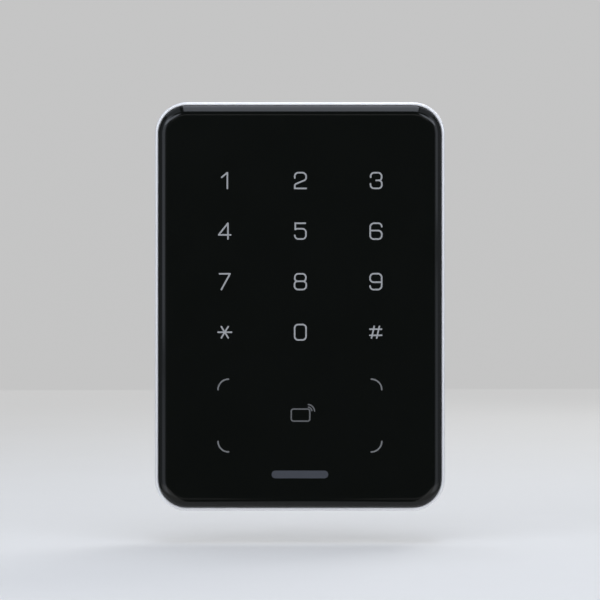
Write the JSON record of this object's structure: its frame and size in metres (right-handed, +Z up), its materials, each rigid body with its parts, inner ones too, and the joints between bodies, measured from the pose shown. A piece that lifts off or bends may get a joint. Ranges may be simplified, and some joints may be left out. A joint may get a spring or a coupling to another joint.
{
  "type": "rfid card reader",
  "caption": "Slim upright wall reader with a black glass touch keypad and card zone in a silver metal frame, hung on a steel bracket and locked by a bottom screw.",
  "frame": {"origin": "middle of the wall screw pattern, on the wall plane, which is the bracket's back face", "axes": "+Z up, +X to the right for a person facing the glass, +Y into the wall; the glass faces -Y"},
  "size_m": [0.083, 0.0175, 0.117],
  "materials": {
    "black_glass": "black back-printed glass, polished",
    "adhesive_foam": "matt black foam tape",
    "milky_film": "translucent white film",
    "satin_metal": "satin bright silver, lightly blasted",
    "board_black": "black solder mask",
    "board_green": "green solder mask",
    "copper_foil": "bare copper",
    "white_moulding": "white light carrier, satin",
    "led_body": "white LED package with a pale yellow lens",
    "connector_black": "black moulded connector",
    "connector_white": "ivory moulded connector",
    "zinc_steel": "bright zinc plating",
    "chip_epoxy": "moulded epoxy",
    "metal_can": "drawn metal can",
    "ferrite": "dark sintered ferrite",
    "capacitor_can": "plain aluminium can",
    "ceramic_chip": "tan ceramic with tinned ends",
    "buzzer_black": "black moulded sounder",
    "switch_dark": "dark grey micro switch",
    "spring_steel": "stainless spring wire",
    "acetal_white": "natural white acetal",
    "silicone_grey": "soft silicone",
    "cover_black": "fine spark-eroded texture",
    "membrane_white": "expanded membrane, matt",
    "gland_rubber": "soft black rubber",
    "blank_label": "silver-grey label film, blank",
    "stainless": "bright stainless steel",
    "bracket_steel": "zinc-plated steel, fine rolling grain"
  },
  "bodies": {
    "wall_bracket": {"wall_bracket": "bracket_steel"},
    "reader": {"front_glass": "black_glass", "glass_adhesive": "adhesive_foam", "diffuser_film": "milky_film", "metal_frame": "satin_metal", "touch_board": "board_black", "touch_pads": "copper_foil", "antenna_coil": "copper_foil", "light_carrier": "white_moulding", "backlight_leds": "led_body", "board_link": "connector_black", "main_board": "board_green", "board_screws": "zinc_steel", "microcontroller": "chip_epoxy", "reader_chip": "chip_epoxy", "clock_crystal": "metal_can", "power_inductor": "ferrite", "power_capacitors": "capacitor_can", "chip_parts": "ceramic_chip", "wire_header": "connector_white", "buzzer": "buzzer_black", "tamper_switch": "switch_dark", "tamper_spring": "spring_steel", "housing_seal": "silicone_grey", "rear_cover": "cover_black", "vent_membrane": "membrane_white", "cable_gland": "gland_rubber", "rating_label": "blank_label", "cover_screws": "stainless"},
    "tamper_plunger": {"tamper_plunger": "acetal_white"},
    "lock_washer": {"lock_washer": "stainless"},
    "lock_screw": {"lock_screw": "stainless"}
  },
  "joints": [
    {"name": "reader_lift", "type": "slide", "parent": "wall_bracket", "child": "reader", "axis": [0, 0, 1], "range_m": [0, 0.006]},
    {"name": "lock_screw_travel", "type": "slide", "parent": "wall_bracket", "child": "lock_washer", "axis": [0, 0, -1], "range_m": [0, 0.006]},
    {"name": "lock_screw_turn", "type": "hinge", "parent": "lock_washer", "child": "lock_screw", "pos_m": [0, -0.0061, -0.057], "axis": [0, 0, -1], "range_deg": [0, 4320]},
    {"name": "tamper_plunger_travel", "type": "slide", "parent": "reader", "child": "tamper_plunger", "axis": [0, 1, 0], "range_m": [0, 0.0015], "stiffness_N_per_m": 200, "springref_m": 0.0025, "deforming": ["tamper_spring"]}
  ],
  "couplings": [
    {"joint": "lock_screw_turn", "follows": "lock_screw_travel", "rad_per_m": 12566}
  ]
}
